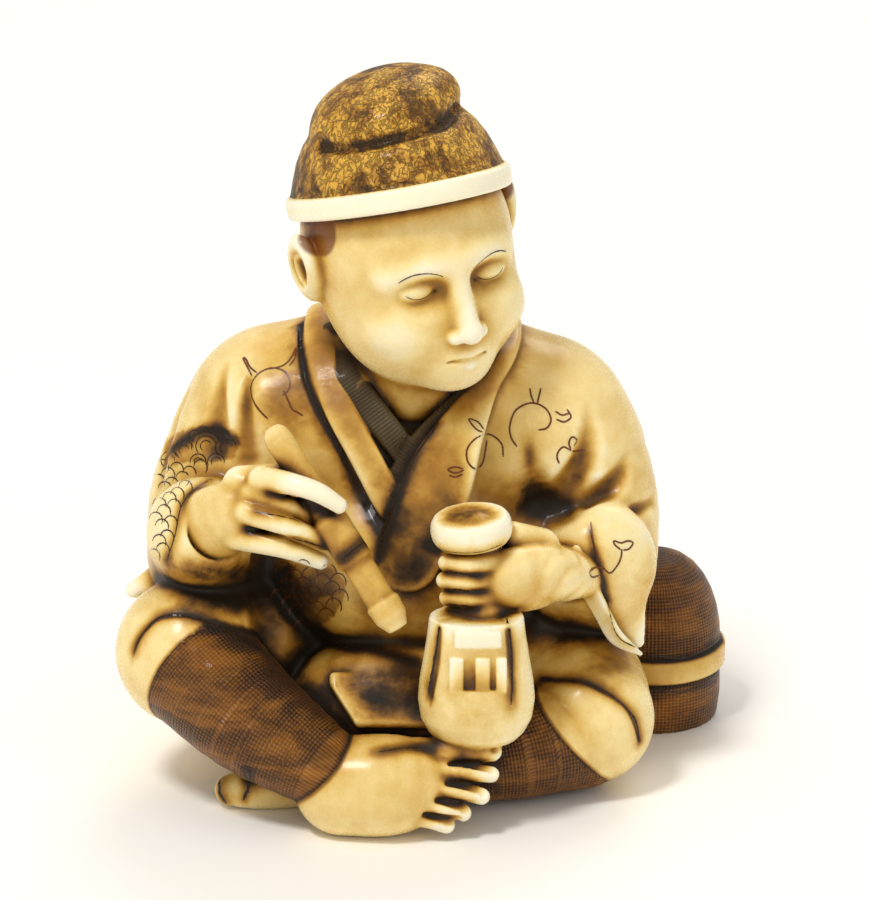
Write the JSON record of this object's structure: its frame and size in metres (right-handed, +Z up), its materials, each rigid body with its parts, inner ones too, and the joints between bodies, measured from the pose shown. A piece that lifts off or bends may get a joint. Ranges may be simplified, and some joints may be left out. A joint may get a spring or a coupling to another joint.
{
  "type": "netsuke",
  "caption": "Carved netsuke of a man in a soft cap seated cross-legged, holding a short bamboo rod and a slotted rattle, with a tied bundle at his side.",
  "frame": {"origin": "on the flat underside, below the middle of the trunk", "axes": "+Z up from the underside, -Y towards the figure's front, +X to the figure's left hand"},
  "size_m": [0.0304, 0.0237, 0.0359],
  "materials": {
    "carving": "polished ivory-coloured carving, cream on the high places, stained amber to dark brown in the recesses, the leggings, cap and bundle"
  },
  "bodies": {
    "root": {"netsuke": "carving"}
  },
  "joints": []
}
